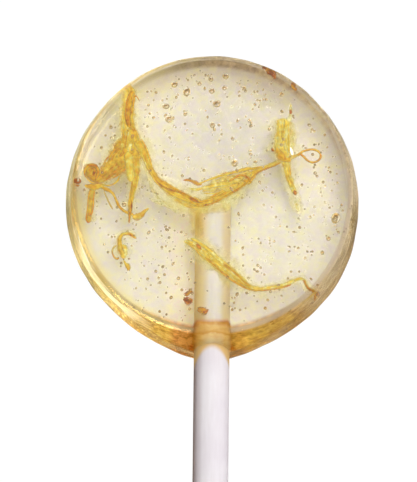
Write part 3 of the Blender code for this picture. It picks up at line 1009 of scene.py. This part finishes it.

# The lower wall, in painted light: amber where light runs a long way through the candy, browner to the right,
# in rings where the stick shows through, and red left of the stick
amber_left = colour_ramp(grainy, (0.4, 0.36, 0.12, 0.004), (0.5, 0.74, 0.32, 0.014), (0.58, 1.0, 0.66, 0.09))
amber_right = colour_ramp(grainy, (0.4, 0.34, 0.12, 0.008), (0.5, 0.72, 0.33, 0.016), (0.58, 1.0, 0.60, 0.06))
amber_right = tinted(amber_right, (0.86, 0.66, 0.55), span(along_x, 5.2 * MM, 3.4 * MM))
amber_right = tinted(amber_right, (0.70, 0.66, 0.86), span(along_x, 4 * MM, 9 * MM))
amber = mix_colours(span(along_x, -1.0 * MM, 2.5 * MM), amber_left, amber_right)
bow = times_plus(grain, 0.9 * MM, times_plus(squared, -0.1 / MM, reach))
rings = colour_ramp(
    times_plus(bow, 0.3 / MM, -4.9),
    (0.0, 0.95, 0.62, 0.16), (0.08, 0.74, 0.23, 0.012), (0.2, 0.86, 0.36, 0.022), (0.34, 0.96, 0.66, 0.18),
    (0.5, 0.94, 0.62, 0.15), (0.58, 0.70, 0.32, 0.03), (0.66, 0.95, 0.72, 0.28), (0.9, 0.98, 0.82, 0.46),
)
rings = tinted(rings, colour_ramp(grainy, (0.42, 0.80, 0.66, 0.5), (0.56, 1.0, 1.0, 1.0)))
amber = mix_colours(over_stick, amber, rings)
wall_painted_light = mix_colours(low_side, wall_painted_light, amber)
red = colour_ramp(grain, (0.42, 0.40, 0.07, 0.004), (0.56, 0.76, 0.235, 0.03))
red_patch = times(span(apart(along_x, RED_PATCH), 2.2 * MM, 1.0 * MM), low_side)
wall_painted_light = mix_colours(red_patch, wall_painted_light, red)

# Inside the wall: cream and lilac mottles, painted shade over the upper middle and in a crescent along the
# top, and a yellow haze on the left
mottle = noise_value(place, 1000, detail=5, roughness=0.65)
body = colour_ramp(mottle, (0.38, 0.94, 0.915, 0.99), (0.5, 0.985, 0.985, 0.975), (0.62, 1.0, 1.0, 0.81))
# Painted shade over the upper middle
from_middle = distance_from(place, SHADED_MIDDLE)
body = tinted(body, (0.93, 0.93, 0.96), times(span(from_middle, 12 * MM, 4 * MM), 0.9))
# Painted shade in a crescent along the top
crescent = times(times(span(reach, 14.6 * MM, 16.2 * MM), 0.9), span(to_top, 0.7, 0.9))
body = tinted(body, (0.985, 0.955, 0.915), crescent)
haze = times(left_side, span(along_y, 4 * MM, -2 * MM))
haze = times(haze, span(reach, 16.3 * MM, 17.6 * MM))
body = mix_colours(haze, body, (0.97, 0.90, 0.52))

# Painted shade: a darker line where the face turns into the wall, and a brown shade on each bubble's upper
# left side
line = span(apart(reach, EDGE_LINE), 0.44 * MM, 0.12 * MM)
line = times(line, span(along_y, 12 * MM, -4 * MM))
line = times(line, math_node("SUBTRACT", 0.9, over_stick, clamp=True))
line_right = mix_colours(low_side, (0.54, 0.42, 0.34), (0.46, 0.32, 0.20))
line_left = mix_colours(span(along_y, -11 * MM, -14 * MM), (0.66, 0.42, 0.08), (0.38, 0.27, 0.08))
body = mix_colours(wall, body, wall_painted_light)
body = mix_colours(line, body, mix_colours(left_side, line_right, line_left))
painted_shade_and_glint = attribute("painted_shade_and_glint")["Fac"]
body = mix_colours(span(painted_shade_and_glint, 0.0, 1.0), body, (0.42, 0.26, 0.06))
links.new(body, shader.inputs["Base Color"])

# Painted glow: the wall gives off light of its own on the left and at the top, most of all at the lower left,
# for light trapped in it
to_sunny = times_plus(along_y, SUNNY_SIDE[1], times(along_x, SUNNY_SIDE[0]))
to_sunny = math_node("DIVIDE", to_sunny, reach)
sunny = times(span(apart(level, SUNNY_LEVEL), 0.18, 0.09), span(to_sunny, 0.90, 0.98))
to_left = times(span(to_right, -0.15, -0.5), span(along_y, -12 * MM, -4 * MM))
glow = colour_ramp(streaks, (0.4, 0.016, 0.013, 0.006), (0.6, 0.11, 0.095, 0.055))
glow = mix_colours(span(to_top, 0.2, 0.8), glow, (0.26, 0.23, 0.16))
dull = mix_colours(span(to_top, -0.3, 0.3), (0.004, 0.002, 0.0), (0.045, 0.035, 0.02))
glow = mix_colours(to_left, dull, glow)
glow = mix_colours(sunny, glow, (0.45, 0.45, 0.31))
glow = mix_colours(wall, BLACK, glow)
# A bubble shaded far below zero glows white: a painted glint
glow = mix_colours(span(painted_shade_and_glint, -0.6, -0.9), glow, (0.9, 0.9, 0.86))
# Painted glints sparkle in the wall's lower left
sparkle = noise_value(place, 2600, detail=2)
sparkle = times(span(sparkle, 0.6, 0.66), wall)
sparkle = times(sparkle, span(to_sunny, 0.84, 0.94))
sparkle = times(sparkle, span(along_y, -11 * MM, -14 * MM))
glow = mix_colours(sparkle, glow, (0.6, 0.54, 0.2))
glow = mix_colours(line, glow, BLACK)
links.new(glow, shader.inputs["Emission Color"])
bump = nodes.new("ShaderNodeBump")
set_values(bump, Distance=0.12 * MM)
links.new(times(wall, 0.9), bump.inputs["Strength"])
links.new(ripple, bump.inputs["Height"])
links.new(bump.outputs["Normal"], shader.inputs["Normal"])
set_values(shader, Roughness=0.02, IOR=1.54, Transmission_Weight=1.0, Emission_Strength=1.0)
absorption = nodes.new("ShaderNodeVolumeAbsorption")
set_values(absorption, Color=(0.94, 0.80, 0.37, 1), Density=20)
links.new(absorption.outputs["Volume"], nodes["Material Output"].inputs["Volume"])
candy.data.materials.clear()
candy.data.materials.append(glass)
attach(candy, "root")
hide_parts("candy")


# ---------------------------------------------------------------------------------------------
# The studio: a plain white table under soft lamps, in a soft light sky whose lower half, which the
# candy's wall mirrors, is warm. A white backdrop that only the camera sees covers the table. The
# camera looks down on the disc, tilted a little to the stick's side.
STUDIO_SIZE = 4.0
TABLE_DROP = 0.05 * MM
BACKDROP_DROP = 0.03 * MM
bpy.ops.object.select_all(action="DESELECT")
bpy.ops.mesh.primitive_plane_add(size=STUDIO_SIZE, location=(0, 0, -TABLE_DROP))
table = bpy.context.object
table.name = "table"
table_white, nodes, links, shader = new_material("table_white")
place, along_x, along_y, along_z = object_position()
from_axis = math_node("ABSOLUTE", along_x)
# Painted shade: the table is dark under the stick's outer part
under_stick = times(span(along_y, -20.5 * MM, -22.5 * MM), span(from_axis, 16 * MM, 10 * MM))
white = mix_colours(under_stick, (0.95, 0.95, 0.95), (0.25, 0.24, 0.25))
links.new(white, shader.inputs["Base Color"])

# Painted light: the table glows warm beside the buried stick, for the light that the candy gathers there
gathered = times(span(from_axis, 7 * MM, 3.5 * MM), span(along_y, 3 * MM, -3 * MM))
gathered = times(gathered, span(along_y, -19 * MM, -16.5 * MM))
warm = mix_colours(span(along_x, -1 * MM, 1 * MM), (0.17, 0.13, 0.045), (0.055, 0.06, 0.03))
links.new(mix_colours(gathered, BLACK, warm), shader.inputs["Emission Color"])
set_values(shader, Roughness=0.8, Emission_Strength=1.0)
table.data.materials.append(table_white)
table.visible_glossy = False

bpy.ops.mesh.primitive_plane_add(size=STUDIO_SIZE, location=(0, 0, -BACKDROP_DROP))
backdrop = bpy.context.object
backdrop.name = "backdrop"
backdrop_white, nodes, links, shader = new_material("backdrop_white")
set_values(shader, Base_Color=(0, 0, 0, 1), Emission_Color=(1, 1, 1, 1), Emission_Strength=1.0)
backdrop.data.materials.append(backdrop_white)
backdrop.visible_diffuse = False
backdrop.visible_glossy = False
backdrop.visible_transmission = False
backdrop.visible_volume_scatter = False
backdrop.visible_shadow = False

SKY_STEPS = ((0.5, 0.35), (0.75, 0.82), (0.95, 0.82), (0.99, 1.0))     # height and light
BELOW_LEFT = (0.66, 0.52, 0.25)
BELOW_RIGHT = (0.41, 0.35, 0.25)
BELOW_FRONT = (0.42, 0.20, 0.03)
BELOW_BACK_TINT = (0.70, 0.80, 1.05)
BEHIND_CAMERA = (0.0, -0.26, 0.966)     # the sky is duller there
SKY_BEHIND = (0.25, 0.25, 0.25)
SKY_SEEN = (0.97, 0.97, 0.97)           # the sky as the camera itself sees it
world = bpy.data.worlds.new("studio_sky")
bpy.context.scene.world = world
world.use_nodes = True
nodes, links = world.node_tree.nodes, world.node_tree.links
direction = nodes.new("ShaderNodeTexCoord").outputs["Generated"]
axes = nodes.new("ShaderNodeSeparateXYZ")
links.new(direction, axes.inputs["Vector"])
to_right, to_back, to_sky = axes.outputs
height = times_plus(to_sky, 0.5, 0.5)
sky = colour_ramp(height, *((step, light, light, light) for step, light in SKY_STEPS))
sky = tinted(sky, colour_ramp(span(to_right, -0.9, 0.3), (0.0, 0.6, 0.6, 0.61), (1.0, 1.0, 1.0, 1.0)))
sky = mix_colours(span(distance_from(direction, BEHIND_CAMERA), 0.28, 0.14), sky, SKY_BEHIND)
below = mix_colours(span(to_right, -0.1, 0.1), BELOW_LEFT, BELOW_RIGHT)
patches = noise_value(direction, 9.0, detail=2)
patches = colour_ramp(patches, (0.4, 0.3, 0.3, 0.3), (0.5, 0.9, 0.9, 0.9), (0.6, 2.0, 2.0, 2.0))
below = tinted(below, patches)
below = tinted(below, BELOW_BACK_TINT, times(span(to_back, 0.11, 0.14), span(to_right, 0.0, -0.03)))
below = mix_colours(span(to_back, -0.22, -0.42), below, BELOW_FRONT)
sky = mix_colours(span(to_sky, -0.04, 0.0), below, sky)
seen = nodes.new("ShaderNodeLightPath").outputs["Is Camera Ray"]
sky = mix_colours(seen, sky, SKY_SEEN)
links.new(sky, nodes["Background"].inputs["Color"])

LAMP_DISTANCE = 0.6


def soft_lamp(name, width, depth, power, direction):
    """A rectangular lamp at the lamps' distance that faces the disc."""
    lamp_data = bpy.data.lights.new(name, "AREA")
    lamp_data.shape = "RECTANGLE"
    lamp_data.size = width
    lamp_data.size_y = depth
    lamp_data.energy = power
    lamp = bpy.data.objects.new(name, lamp_data)
    lamp.location = LAMP_DISTANCE * Vector(direction).normalized()
    lamp.rotation_euler = lamp.location.to_track_quat("Z", "Y").to_euler()
    lamp.visible_glossy = False
    bpy.context.scene.collection.objects.link(lamp)


soft_lamp("key", 0.18, 0.18, 2.4, (0.276, 0.961, 1.664))
soft_lamp("overhead", 0.2, 0.2, 1.2, (0.30, 0.10, 0.95))
soft_lamp("window", 0.36, 0.18, 0.5, (0.70, 0.59, 0.42))

PHOTO_WIDTH, PHOTO_HEIGHT = 417, 482
MM_PER_PIXEL = 0.13 * MM
DISC_COLUMN, DISC_ROW = 212.1, 198.9
CAMERA_DISTANCE = 450 * MM
CAMERA_TILT = math.radians(7.5)
SENSOR = 36.0
camera_data = bpy.data.cameras.new("camera")
camera_data.sensor_width = SENSOR
camera_data.lens = SENSOR * CAMERA_DISTANCE / (PHOTO_HEIGHT * MM_PER_PIXEL)
camera_data.clip_start = 10 * MM
camera = bpy.data.objects.new("camera", camera_data)
bpy.context.scene.collection.objects.link(camera)
bpy.context.scene.camera = camera
away = Vector((0, -math.sin(CAMERA_TILT), math.cos(CAMERA_TILT)))
right = Vector((1, 0, 0))
up = away.cross(right)
camera.location = (
    Vector((0, 0, THICKNESS / 2))
    - right * (DISC_COLUMN - PHOTO_WIDTH / 2) * MM_PER_PIXEL
    - up * (PHOTO_HEIGHT / 2 - DISC_ROW) * MM_PER_PIXEL
    + away * CAMERA_DISTANCE
)
camera.rotation_euler = (CAMERA_TILT, 0, 0)

scene = bpy.context.scene
scene.view_settings.view_transform = "Standard"
scene.cycles.max_bounces = 32
scene.cycles.glossy_bounces = 32
scene.cycles.transmission_bounces = 32
scene.cycles.transparent_max_bounces = 24
scene.cycles.sample_clamp_indirect = 40

bpy.context.view_layer.update()
